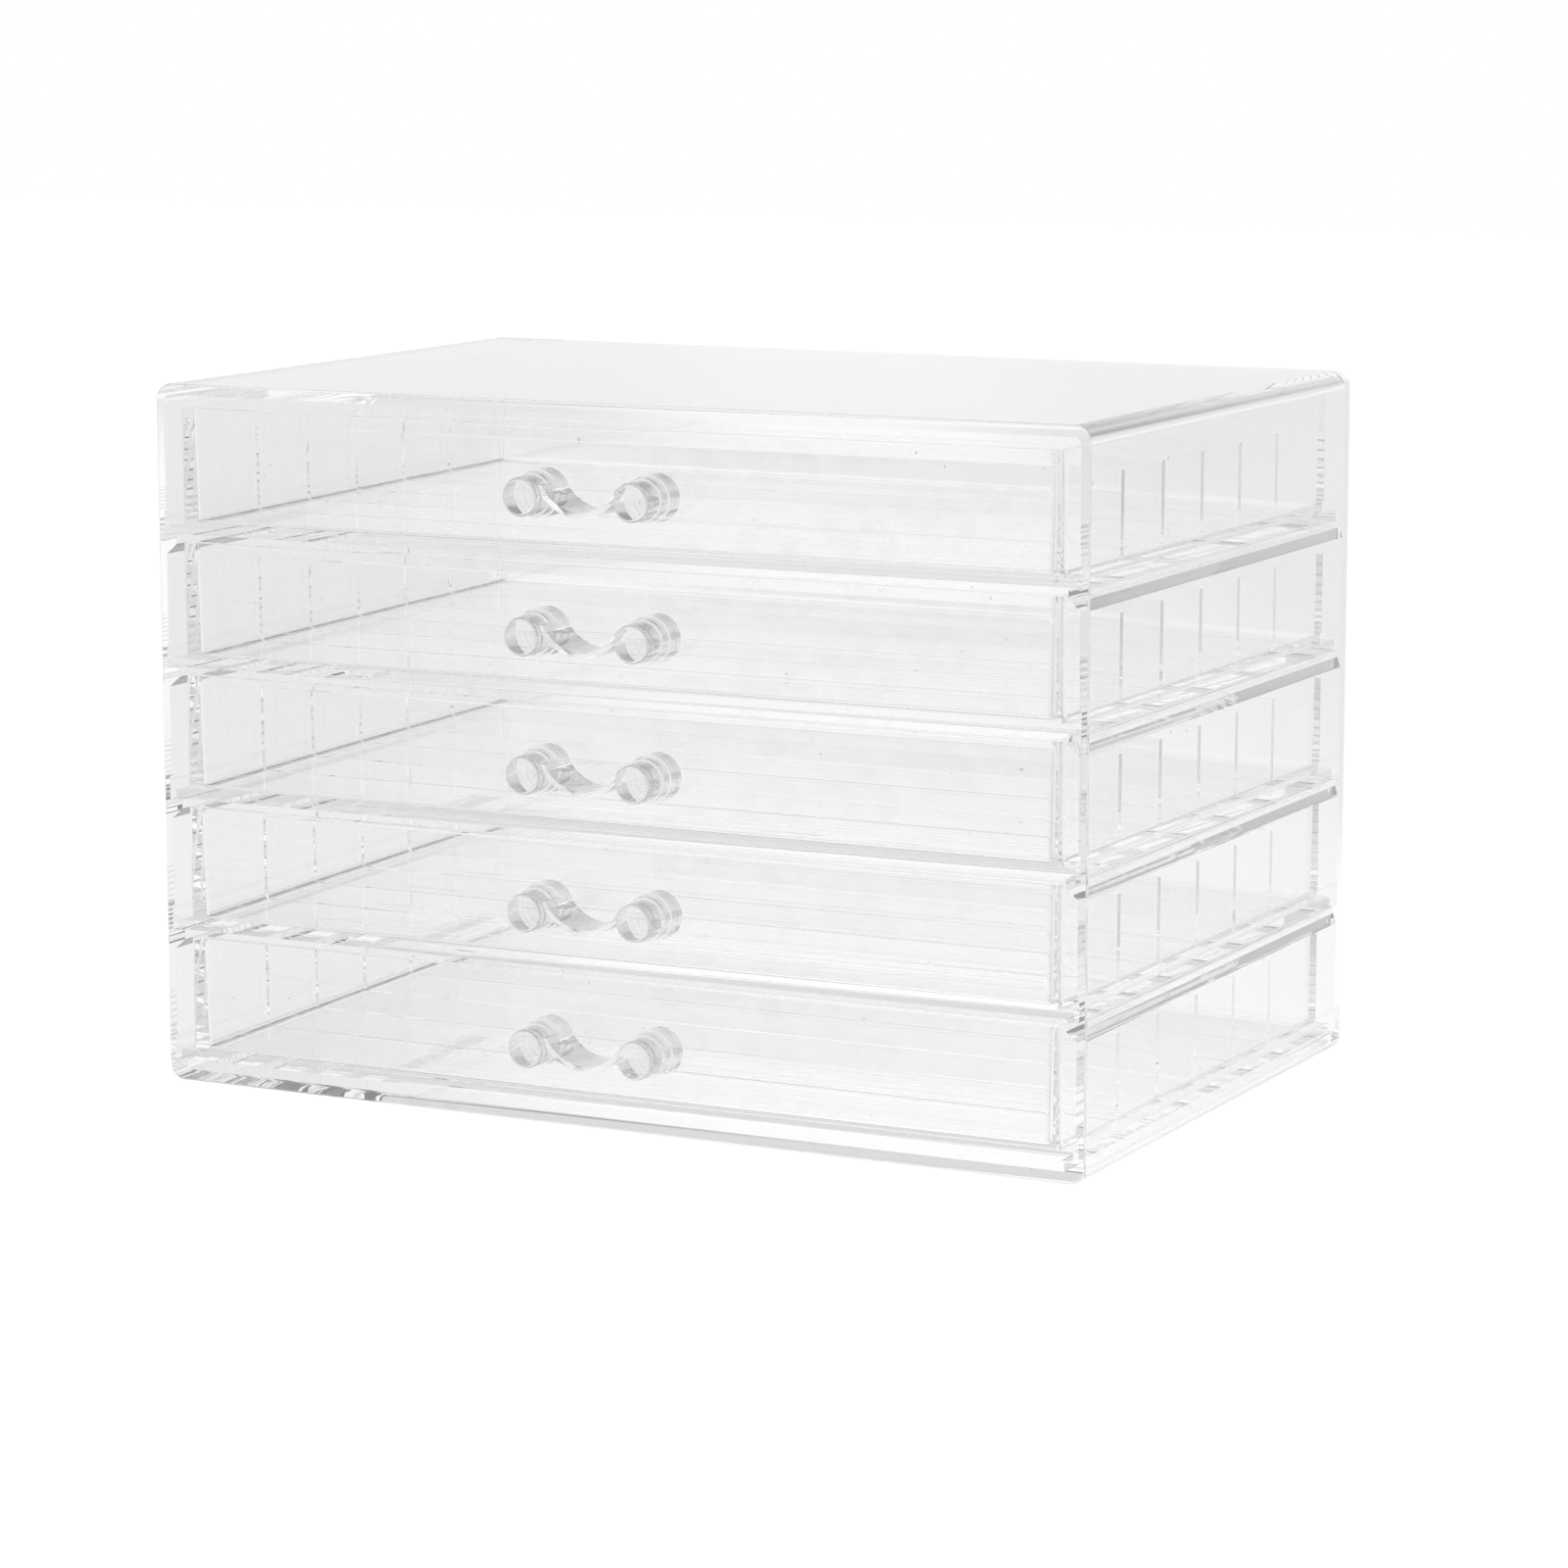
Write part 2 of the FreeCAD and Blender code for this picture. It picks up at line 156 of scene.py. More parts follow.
class HandleSizes(PropertyGroup):
    """A handle's two stepped posts and the curved web between them."""
    post_spacing: length("Post spacing", "Distance between the posts' axes", 0.0254)
    head_radius: length("Head radius", "Radius of the front step of a post", 0.004)
    head_length: length("Head length", "Length of the front step", 0.0052)
    head_bevel: length("Head bevel", "Rounding round the front disc", 0.0007)
    waist_radius: length("Waist radius", "Radius of the middle step", 0.0045)
    waist_length: length("Waist length", "Length of the middle step", 0.0026)
    foot_radius: length("Foot radius", "Radius of the step at the drawer front", 0.005)
    web_thickness: length("Web thickness", "Thickness of the curved web", 0.0012)
    web_setback: length("Web setback", "How far the web ends behind the front discs", 0.002)
    web_drop: length("Web drop", "How far the web hangs below the posts' axes", 0.0039)
    web_rise: length("Web rise", "Height above the axes where its underside ends", 0.0004)
    web_top: length("Web top", "Height above the axes where its upper side ends", 0.0024)
    edge_radius: length("Edge radius", "Rounding of the steps and the web", 0.00022)


class PlasticLook(PropertyGroup):
    """The clear moulded plastic, with painted shade where a case or handle face is seen edge on.
    """
    refraction: FloatProperty(name="Refraction", description="How strongly it bends light",
                              default=1.5, min=1.0)
    case_haze: share("Case haze", "Roughness of the case's polish", 0.0)
    tray_haze: share("Tray haze", "Roughness of the trays' polish", 0.0)
    tint: FloatVectorProperty(name="Tint", description="Colour that a face lets through",
                              default=(0.991, 0.991, 0.991), subtype="COLOR")
    speck: FloatVectorProperty(name="Specks", description="Colour of the rare small specks",
                               default=(0.45, 0.44, 0.43), subtype="COLOR")
    depth_tint: FloatVectorProperty(name="Depth tint", description="Colour that long ways keep",
                                    default=(0.9, 0.9, 0.9), subtype="COLOR")
    depth_density: FloatProperty(name="Depth density", default=5.0, min=0.0,
                                 description="How fast the plastic takes light, per metre")
    handle_refraction: FloatProperty(name="Handle refraction", default=1.62, min=1.0,
                                     description="How strongly a handle bends light")
    # Painted shade: the case's and a handle's colour turns towards this grey where a face is
    # seen edge on, and the spread sets how far in it reaches.
    case_edge_shade: share("Case rim", "Light let through by the case's faces seen edge on", 0.92)
    handle_edge_shade: share("Handle rim", "The same share for a handle", 0.35)
    edge_shade_spread: share("Rim spread", "How far the rim reaches in from the edge", 0.35)
    ripple: length("Ripple", "Height of the slow waves that moulding leaves", 0.000006)
    case_waves: length("Case waves", "Width of the case's slow waves", 0.045)
    tray_waves: length("Tray waves", "Width of a tray's slow waves", 0.03)
    handle_waves: length("Handle waves", "Width of a handle's slow waves", 0.006)
    case_leak_after: count("Case leak after", "Bounces before light leaves the case", 14)
    tray_leak_after: count("Tray leak after", "Bounces before light leaves a tray", 24)
    handle_leak_after: count("Handle leak after", "Bounces before light leaves a handle", 60)
    case_leak_keeps: share("Case leak keeps", "Light kept per face on the way out", 0.985)
    tray_leak_keeps: share("Tray leak keeps", "The same share for a tray", 0.95)
    handle_leak_keeps: share("Handle leak keeps", "The same share for a handle", 0.99)


class StageLook(PropertyGroup):
    """The camera, the light and the floor."""
    camera_place: FloatVectorProperty(name="Camera", description="Where the camera stands",
                                      default=(0.4978, -0.9633, 0.2430),
                                      unit="LENGTH", subtype="TRANSLATION")
    camera_turn: angle("Camera turn", "Turn of the view to the left of +Y", 27.075)
    camera_dip: angle("Camera dip", "How far the camera looks down", 9.486)
    camera_roll: angle("Camera roll", "Roll about the view", -0.095)
    lens: FloatProperty(name="Lens", description="Focal length on a 36 mm sensor, in mm",
                        default=116.69, min=1.0)
    backdrop: share("Backdrop", "Brightness of the surroundings, low down", 1.0)
    above: share("Above", "Brightness above the backdrop's foot", 0.76)
    gap: share("Gap", "Brightness between the backdrop and the light overhead", 0.26)
    overhead: share("Overhead", "Brightness of the soft light overhead", 1.4)
    window: share("Window", "Brightness of the soft light at the front left", 1.35)
    window_turn: angle("Window turn", "Where the soft light stands, to the left of +Y", 150.0)
    window_rise: angle("Window rise", "How high the soft light stands", 6.0)
    window_size: angle("Window size", "Angle from its middle to its edge", 26.0)
    room: share("Room", "Brightness of the dim room behind the camera", 0.36)
    room_turn: angle("Room turn", "Where the dim room is, to the right of +Y", 150.0)
    room_rise: angle("Room rise", "How high the dim room's middle is", 36.0)
    room_size: angle("Room size", "Angle from its middle to its edge", 44.0)
    # Painted light: the floor glows brighter near the object and dimmer far behind it and at
    # both sides, a painted pool of light seen by every ray but the camera's.
    floor_pool_near: share("Floor light", "The floor's own brightness near the object", 0.98)
    floor_pool_back: share("Floor back", "The same brightness far behind the object", 0.90)
    floor_pool_sides: share("Floor sides", "Part of it that is left at both sides", 0.80)
    floor_seen: share("Floor seen", "The same brightness where the camera sees it", 0.92)


def deselect():
    if bpy.context.mode != "OBJECT":
        bpy.ops.object.mode_set(mode="OBJECT")
    bpy.ops.object.select_all(action="DESELECT")


def activate(piece):
    deselect()
    piece.select_set(True)
    bpy.context.view_layer.objects.active = piece


def add_block(name, low, high):
    """A block from corner to corner, with its place in its mesh."""
    deselect()
    low = Vector(low)
    high = Vector(high)
    bpy.ops.mesh.primitive_cube_add(size=1.0, location=(low + high) / 2, scale=high - low)
    block = bpy.context.object
    block.name = name
    bpy.ops.object.transform_apply(location=True, rotation=True, scale=True)
    return block


def edit_edges(piece, chosen):
    """Opens the piece in edit mode with the edges selected that the test picks."""
    activate(piece)
    bpy.ops.object.mode_set(mode="EDIT")
    bpy.ops.mesh.select_mode(type="EDGE")
    bpy.ops.mesh.select_all(action="DESELECT")
    bpy.ops.object.mode_set(mode="OBJECT")
    points = piece.data.vertices
    for edge in piece.data.edges:
        start, end = (points[index].co for index in edge.vertices)
        edge.select = bool(chosen(start, end))
    bpy.ops.object.mode_set(mode="EDIT")


def edit_faces(piece, chosen):
    """Opens the piece in edit mode with the faces selected that the test picks."""
    activate(piece)
    bpy.ops.object.mode_set(mode="EDIT")
    bpy.ops.mesh.select_mode(type="FACE")
    bpy.ops.mesh.select_all(action="DESELECT")
    bpy.ops.object.mode_set(mode="OBJECT")
    for face in piece.data.polygons:
        face.select = bool(chosen(face.center, face.normal))
    bpy.ops.object.mode_set(mode="EDIT")


def round_edges(piece, radius, segments, chosen):
    edit_edges(piece, chosen)
    bpy.ops.mesh.bevel(offset=radius, segments=segments, profile=0.5, affect="EDGES",
                       clamp_overlap=True)
    bpy.ops.object.mode_set(mode="OBJECT")


def runs_along(axis):
    """A test for edges that run along one axis."""
    others = [index for index in range(3) if index != axis]
    return lambda start, end: all(abs(start[i] - end[i]) < CLOSE for i in others)


def lies_at(axis, place):
    """A test for edges that lie wholly at one place along an axis."""
    return lambda start, end: all(abs(point[axis] - place) < CLOSE for point in (start, end))


def join(pieces):
    """Several separate solids as one object."""
    deselect()
    for piece in pieces:
        piece.select_set(True)
    bpy.context.view_layer.objects.active = pieces[0]
    bpy.ops.object.join()
    return pieces[0]


def combine(piece, other, operation):
    """Cuts the other piece out of this one, or adds it, and removes the other."""
    modifier = piece.modifiers.new(operation.title(), "BOOLEAN")
    modifier.object = other
    modifier.operation = operation
    modifier.solver = "EXACT"
    activate(piece)
    bpy.ops.object.modifier_apply(modifier=modifier.name)
    bpy.data.objects.remove(other, do_unlink=True)


def clean(piece):
    """Merges doubles, joins faces that lie in one plane and points every face outwards."""
    activate(piece)
    bpy.ops.object.mode_set(mode="EDIT")
    bpy.ops.mesh.select_all(action="SELECT")
    bpy.ops.mesh.remove_doubles(threshold=CLOSE)
    bpy.ops.mesh.dissolve_limited(angle_limit=math.radians(FLAT_DEGREES))
    bpy.ops.mesh.normals_make_consistent(inside=False)
    bpy.ops.object.mode_set(mode="OBJECT")


def soften(piece, radius, segments, least_degrees=SHARP_DEGREES):
    """Rounds every sharp edge, then shades curved faces smooth and keeps flat faces flat."""
    bevel = piece.modifiers.new("Moulded edges", "BEVEL")
    bevel.width = radius
    bevel.segments = segments
    bevel.limit_method = "ANGLE"
    bevel.angle_limit = math.radians(least_degrees)
    bevel.use_clamp_overlap = True
    bevel.miter_outer = "MITER_ARC"
    activate(piece)
    bpy.ops.object.modifier_apply(modifier=bevel.name)
    bpy.ops.object.shade_smooth_by_angle(angle=math.radians(least_degrees))
    weighted = piece.modifiers.new("Flat faces", "WEIGHTED_NORMAL")
    weighted.mode = "FACE_AREA"
    weighted.weight = 100
    weighted.keep_sharp = True
    bpy.ops.object.modifier_apply(modifier=weighted.name)


def finish_piece(piece, node, slot):
    """Puts the piece in the place of its node, on the node's body, in its material."""
    piece.data.name = piece.name
    piece.data.materials.clear()
    piece.data.materials.append(bpy.data.materials[PLASTIC_OF[slot]])
    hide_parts(node)
    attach(piece, BODY_OF[node])


def copy_piece(piece, name, shift):
    """A copy with its own mesh, moved within its mesh."""
    copy = piece.copy()
    copy.data = piece.data.copy()
    copy.name = name
    bpy.context.scene.collection.objects.link(copy)
    copy.data.transform(Matrix.Translation(shift))
    return copy


def case_rails(sizes, low, high):
    """The steps at the base and the rails above them, with a slope under each rail."""
    cavity_half = high.x - sizes.side_wall
    tip = cavity_half - sizes.rail_reach
    root = cavity_half + sizes.side_wall / 2
    back = high.y - sizes.back_wall / 2
    rails = []
    for number in DRAWER_NUMBERS:
        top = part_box(f"{TRAY_PREFIX}{number}")[0].z - sizes.runner_clearance
        tip_under = top - sizes.rail_tip
        slope_end = tip_under - sizes.gusset_drop
        for side in SIDES:
            inner, outer = sorted((side * tip, side * root))
            if number == DRAWER_NUMBERS[-1]:
                bottom = sizes.base_wall / 2
                rails.append(add_block("step", (inner, low.y, bottom), (outer, back, top)))
                continue
            rail = add_block("rail", (inner, low.y, slope_end), (outer, back, tip_under))
            edit_edges(rail, lambda start, end: lies_at(2, slope_end)(start, end)
                       and lies_at(0, side * tip)(start, end))
            bpy.ops.transform.translate(value=(side * sizes.rail_reach, 0, 0))
            edit_faces(rail, lambda centre, normal: normal.z > MOSTLY)
            bpy.ops.mesh.extrude_region_move(
                TRANSFORM_OT_translate={"value": (0, 0, sizes.rail_tip)})
            bpy.ops.object.mode_set(mode="OBJECT")
            rails.append(rail)
    return join(rails)


def case_grooves(sizes, low, high):
    """The shallow grooves above each rail, as cutters."""
    cavity_half = high.x - sizes.side_wall
    mouth = cavity_half - sizes.rail_reach / 2
    face = cavity_half + sizes.groove_depth
    back = high.y - sizes.back_wall
    cutters = []
    for number in DRAWER_NUMBERS:
        rail_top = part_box(f"{TRAY_PREFIX}{number}")[0].z - sizes.runner_clearance
        for side in SIDES:
            inner, outer = sorted((side * mouth, side * face))
            cutters.append(add_block("groove", (inner, low.y - sizes.front_radius, rail_top),
                                     (outer, back, rail_top + sizes.groove_height)))
    return join(cutters)


def make_case(sizes):
    """The rounded shell, hollowed from the front, with its grooves and rails."""
    low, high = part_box(CASE_NODE)
    shell = add_block("clear_case_shell", low, high)
    round_edges(shell, sizes.corner_radius, 12, runs_along(1))
    round_edges(shell, sizes.back_radius, 4, lies_at(1, high.y))
    round_edges(shell, sizes.front_radius, 3, lies_at(1, low.y))

    cavity_half = high.x - sizes.side_wall
    cavity_back = high.y - sizes.back_wall
    cavity = add_block("cavity", (-cavity_half, low.y - sizes.back_wall, sizes.base_wall),
                       (cavity_half, cavity_back, high.z - sizes.top_wall))
    round_edges(cavity, sizes.cavity_radius, 6, runs_along(1))
    combine(shell, cavity, "DIFFERENCE")
    combine(shell, case_grooves(sizes, low, high), "DIFFERENCE")
    combine(shell, case_rails(sizes, low, high), "UNION")
    clean(shell)
    soften(shell, sizes.edge_radius, 2)
    return shell


def tray_hollow(sizes, half, low, high):
    """The hollow of a tray as a cutter: drafted, with rounded corners and floor edges."""
    floor = low.z + sizes.floor
    front = low.y + sizes.front_wall
    back = high.y - sizes.back_wall
    inner_half = half - sizes.side_wall
    hollow = add_block("hollow", (-inner_half, front, floor), (inner_half, back, high.z))
    edit_faces(hollow, lambda centre, normal: normal.z < -MOSTLY)
    lean = (high.z - floor) * math.tan(sizes.draft)
    middle = (0, (front + back) / 2, floor)
    shrink = (1 - lean / inner_half, 1 - 2 * lean / (back - front), 1)
    bpy.ops.transform.resize(value=shrink, center_override=middle)
    bpy.ops.object.mode_set(mode="OBJECT")
    lower = lies_at(2, floor)
    upper = lies_at(2, high.z)
    round_edges(hollow, sizes.cavity_radius, 6,
                lambda start, end: not lower(start, end) and not upper(start, end))
    round_edges(hollow, sizes.floor_fillet, 5, lies_at(2, floor))
    edit_faces(hollow, lambda centre, normal: normal.z > MOSTLY)
    bpy.ops.transform.translate(value=(0, 0, sizes.floor))
    bpy.ops.object.mode_set(mode="OBJECT")
    return hollow


def tray_fins(sizes, half, low, high):
    """The fins as one object of separate walls, rooted in the sides and the floor."""
    reach = half - sizes.side_wall / 2
    first = low.y + sizes.front_wall + sizes.end_compartment
    last = high.y - sizes.back_wall - sizes.end_compartment - sizes.fin_thickness
    fins = []
    for number in range(sizes.fin_count):
        front = first + (last - first) * number / (sizes.fin_count - 1)
        fins.append(add_block("fin", (-reach, front, low.z + sizes.floor / 2),
                              (reach, front + sizes.fin_thickness, high.z - sizes.fin_drop)))
    return join(fins)


def make_tray(sizes, node):
    """A hollowed block with a runner at the foot of each side and fins across it."""
    low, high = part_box(node)
    half = high.x - sizes.runner_reach
    tray = add_block("clear_drawer_tray", (-half, low.y, low.z), (half, high.y, high.z))
    round_edges(tray, sizes.corner_radius, 6, runs_along(2))
    combine(tray, tray_hollow(sizes, half, low, high), "DIFFERENCE")
    root = half - sizes.side_wall / 2
    runners = []
    for side in SIDES:
        inner, outer = sorted((side * root, side * high.x))
        runners.append(add_block("runner", (inner, low.y, low.z),
                                 (outer, high.y, low.z + sizes.runner_height)))
    combine(tray, join(runners), "UNION")
    combine(tray, tray_fins(sizes, half, low, high), "UNION")
    clean(tray)
    soften(tray, sizes.edge_radius, 3)
    return tray


def handle_post(sizes, x, low, high):
    """One post: a disc at the drawer front, stepped in twice towards its rounded head."""
    foot_length = high.y - low.y - sizes.waist_length - sizes.head_length
    height = (low.z + high.z) / 2
    deselect()
    bpy.ops.mesh.primitive_cylinder_add(
        vertices=64, radius=sizes.foot_radius, depth=foot_length, end_fill_type="NGON",
        location=(x, high.y - foot_length / 2, height), rotation=(math.pi / 2, 0, 0))
    post = bpy.context.object
    bpy.ops.object.transform_apply(location=True, rotation=True, scale=True)
    edit_faces(post, lambda centre, normal: normal.y < -MOSTLY)
    steps = ((sizes.foot_radius - sizes.waist_radius, sizes.waist_length),
             (sizes.waist_radius - sizes.head_radius, sizes.head_length))
    for inset, step_length in steps:
        bpy.ops.mesh.inset(thickness=inset)
        bpy.ops.mesh.extrude_region_move(
            TRANSFORM_OT_translate={"value": (0, -step_length, 0)})
    bpy.ops.object.mode_set(mode="OBJECT")
    round_edges(post, sizes.head_bevel, 5, lies_at(1, low.y))
    return post


def handle_web(sizes, low, high):
    """The web: a flat plate spun about the centre of its curve, its ends run into the posts."""
    axis_height = (low.z + high.z) / 2
    half_span = sizes.post_spacing / 2 - sizes.head_radius
    sag = sizes.web_drop + sizes.web_rise
    outer = (half_span ** 2 + sag ** 2) / (2 * sag)
    inner = outer - sizes.web_thickness
    centre_height = outer - sizes.web_drop
    half_turn = math.acos((centre_height - sizes.web_top) / inner)
    front = low.y + sizes.web_setback
    centre = Vector((0, 0, axis_height + centre_height))
    down = Vector((-math.sin(half_turn), 0, -math.cos(half_turn)))

    deselect()
    bpy.ops.mesh.primitive_plane_add(size=1.0, location=(0, 0, 0))
    web = bpy.context.object
    corners = [(outer, front), (inner, front), (outer, high.y), (inner, high.y)]
    for point, (radius, y) in zip(web.data.vertices, corners):
        point.co = centre + down * radius + Vector((0, y, 0))
    edit_faces(web, lambda middle, normal: True)
    bpy.ops.mesh.spin(steps=24, angle=2 * half_turn, center=centre, axis=(0, 1, 0))
    bpy.ops.mesh.select_all(action="SELECT")
    bpy.ops.mesh.normals_make_consistent(inside=False)
    bpy.ops.object.mode_set(mode="OBJECT")
    for side in SIDES:
        end = down * (outer + inner) / 2
        edit_faces(web, lambda middle, normal: abs(middle.x - side * abs(end.x)) < CLOSE
                   and abs(normal.y) < 0.5)
        bpy.ops.mesh.extrude_region_move(
            TRANSFORM_OT_translate={"value": (side * sizes.head_radius, 0, 0)})
        bpy.ops.object.mode_set(mode="OBJECT")
    return web


def make_handle(sizes, node):
    """Two stepped posts joined by the curved web."""
    low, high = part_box(node)
    posts = [handle_post(sizes, side * sizes.post_spacing / 2, low, high) for side in SIDES]
    handle = join(posts)
    handle.name = "clear_drawer_handle"
    combine(handle, handle_web(sizes, low, high), "UNION")
    clean(handle)
    soften(handle, sizes.edge_radius, 3, HANDLE_SHARP_DEGREES)
    return handle


def moulded_surface_group():
    """The slow waves of a moulded face, as a height, and its rare small specks, as a mask."""
    group = bpy.data.node_groups.new("Moulded Surface", "ShaderNodeTree")
    for name, default in (("Wave Size", 0.03), ("Speck Size", 0.0014), ("Speck Limit", 0.9)):
        socket = group.interface.new_socket(name, in_out="INPUT", socket_type="NodeSocketFloat")
        socket.default_value = default
    for name in ("Height", "Specks"):
        group.interface.new_socket(name, in_out="OUTPUT", socket_type="NodeSocketFloat")
    nodes = group.nodes
    link = group.links.new
    entry = nodes.new("NodeGroupInput")
    leave = nodes.new("NodeGroupOutput")
    place = nodes.new("ShaderNodeTexCoord")

    def noise(size_socket, detail):
        scale = nodes.new("ShaderNodeMath")
        scale.operation = "DIVIDE"
        scale.inputs[0].default_value = 1.0
        link(entry.outputs[size_socket], scale.inputs[1])
        texture = nodes.new("ShaderNodeTexNoise")
        texture.inputs["Detail"].default_value = detail
        link(place.outputs["Object"], texture.inputs["Vector"])
        link(scale.outputs[0], texture.inputs["Scale"])
        return texture.outputs["Fac"]

    link(noise("Wave Size", 1.0), leave.inputs["Height"])
    specks = nodes.new("ShaderNodeMath")
    specks.operation = "GREATER_THAN"
    link(noise("Speck Size", 0.0), specks.inputs[0])
    link(entry.outputs["Speck Limit"], specks.inputs[1])
    link(specks.outputs[0], leave.inputs["Specks"])
    return group


def paint_edge_shade(nodes, link, colour, rim, spread):
    """The colour as it is seen straight on, with painted shade where a face is seen edge on."""
    edge = nodes.new("ShaderNodeLayerWeight")
    edge.inputs["Blend"].default_value = spread
    node = nodes.new("ShaderNodeMix")
    node.data_type = "RGBA"
    node.inputs["B"].default_value = (rim, rim, rim, 1)
    link(edge.outputs["Facing"], node.inputs["Factor"])
    link(colour, node.inputs["A"])
    return node.outputs["Result"]


def make_plastic(look, name, surface, refraction, haze, waves_width, leak_after, keeps, rim):
    """Clear moulded plastic with slow waves: it bends light and takes a little on long ways.

    Light that has bounced more than leak_after times goes straight on through every face,
    and each of those faces keeps the given share of it.
    """
    material = bpy.data.materials.new(name)
    material.use_nodes = True
    nodes = material.node_tree.nodes
    link = material.node_tree.links.new
    nodes.clear()
    output = nodes.new("ShaderNodeOutputMaterial")
    plastic = nodes.new("ShaderNodeBsdfPrincipled")
    plastic.inputs["Transmission Weight"].default_value = 1.0
    plastic.inputs["IOR"].default_value = refraction
    plastic.inputs["Roughness"].default_value = haze

    waves = nodes.new("ShaderNodeGroup")
    waves.node_tree = surface
    waves.inputs["Wave Size"].default_value = waves_width
    bump = nodes.new("ShaderNodeBump")
    bump.inputs["Distance"].default_value = look.ripple
    link(waves.outputs["Height"], bump.inputs["Height"])
    link(bump.outputs["Normal"], plastic.inputs["Normal"])
    colour = nodes.new("ShaderNodeMix")
    colour.data_type = "RGBA"
    colour.inputs["A"].default_value = (*look.tint, 1)
    colour.inputs["B"].default_value = (*look.speck, 1)
    link(waves.outputs["Specks"], colour.inputs["Factor"])
    shade = colour.outputs["Result"]
    # Painted shade: below 1, rim is the grey that the colour turns to where a face is seen edge
    # on.
    if rim < 1.0:
        shade = paint_edge_shade(nodes, link, shade, rim, look.edge_shade_spread)
    link(shade, plastic.inputs["Base Color"])

    clear = nodes.new("ShaderNodeBsdfTransparent")
    clear.inputs["Color"].default_value = (keeps, keeps, keeps, 1)
    path = nodes.new("ShaderNodeLightPath")
    trapped = nodes.new("ShaderNodeMath")
    trapped.operation = "GREATER_THAN"
    trapped.inputs[1].default_value = leak_after
    link(path.outputs["Ray Depth"], trapped.inputs[0])
    straight_on = nodes.new("ShaderNodeMath")
    straight_on.operation = "MAXIMUM"
    link(path.outputs["Is Shadow Ray"], straight_on.inputs[0])
    link(trapped.outputs[0], straight_on.inputs[1])
    mix = nodes.new("ShaderNodeMixShader")
    link(straight_on.outputs[0], mix.inputs[0])
    link(plastic.outputs[0], mix.inputs[1])
    link(clear.outputs[0], mix.inputs[2])
    link(mix.outputs[0], output.inputs["Surface"])

    depth = nodes.new("ShaderNodeVolumeAbsorption")
    depth.inputs["Color"].default_value = (*look.depth_tint, 1)
    depth.inputs["Density"].default_value = look.depth_density
    link(depth.outputs[0], output.inputs["Volume"])


def make_plastics(look):
    surface = moulded_surface_group()
    # Each row: refraction, haze, wave width, leak after, leak keeps, and the grey of the painted
    # edge shade, where 1.0 paints none.
    rows = {"clear_case": (look.refraction, look.case_haze, look.case_waves,
                           look.case_leak_after, look.case_leak_keeps, look.case_edge_shade),
            "clear_tray": (look.refraction, look.tray_haze, look.tray_waves,
                           look.tray_leak_after, look.tray_leak_keeps, 1.0),
            "clear_handle": (look.handle_refraction, 0.0, look.handle_waves,
                             look.handle_leak_after, look.handle_leak_keeps,
                             look.handle_edge_shade)}
    for slot, row in rows.items():
        make_plastic(look, PLASTIC_OF[slot], surface, *row)


def set_camera(look):
    """A camera that looks left and down, and rolls a little about its view."""
    turn, dip, roll = look.camera_turn, look.camera_dip, look.camera_roll
    ahead = Vector((-math.sin(turn) * math.cos(dip), math.cos(turn) * math.cos(dip),
                    -math.sin(dip)))
    right = ahead.cross(Vector((0, 0, 1))).normalized()
    above = right.cross(ahead)
    right_rolled = right * math.cos(roll) + above * math.sin(roll)
    above_rolled = above * math.cos(roll) - right * math.sin(roll)
    data = bpy.data.cameras.new("camera")
    camera = bpy.data.objects.new("camera", data)
    bpy.context.scene.collection.objects.link(camera)
    axes = Matrix((right_rolled, above_rolled, -ahead)).transposed()
    camera.matrix_world = Matrix.Translation(look.camera_place) @ axes.to_4x4()
    data.sensor_width = SENSOR_WIDTH
    data.lens = look.lens
    data.clip_start = NEAREST_SEEN
    data.clip_end = FARTHEST_SEEN
    bpy.context.scene.camera = camera


def direction(turn, rise):
    """The direction at a turn to the right of +Y and a rise above the floor."""
    return (math.sin(turn) * math.cos(rise), math.cos(turn) * math.cos(rise), math.sin(rise))


def ramp(nodes, link, source, ends, results):
    """A smooth change from one result to the other between two ends of the source."""
    node = nodes.new("ShaderNodeMapRange")
    node.interpolation_type = "SMOOTHSTEP"
    for name, value in zip(("From Min", "From Max", "To Min", "To Max"), (*ends, *results)):
        node.inputs[name].default_value = value
    link(source, node.inputs["Value"])
    return node.outputs["Result"]


def blend_values(nodes, link, factor, first, second):
    """first where the factor is 0 and second where it is 1; each is a number or a socket."""
    node = nodes.new("ShaderNodeMix")
    node.data_type = "FLOAT"
    link(factor, node.inputs["Factor"])
    for name, value in (("A", first), ("B", second)):
        if isinstance(value, float):
            node.inputs[name].default_value = value
        else:
            link(value, node.inputs[name])
    return node.outputs["Result"]


def multiply(nodes, link, first, second):
    node = nodes.new("ShaderNodeMath")
    node.operation = "MULTIPLY"
    link(first, node.inputs[0])
    link(second, node.inputs[1])
    return node.outputs["Value"]


def facing(nodes, link, source, towards):
    """The cosine between the source's direction and another one."""
    node = nodes.new("ShaderNodeVectorMath")
    node.operation = "DOT_PRODUCT"
    node.inputs[1].default_value = towards
    link(source, node.inputs[0])
    return node.outputs["Value"]


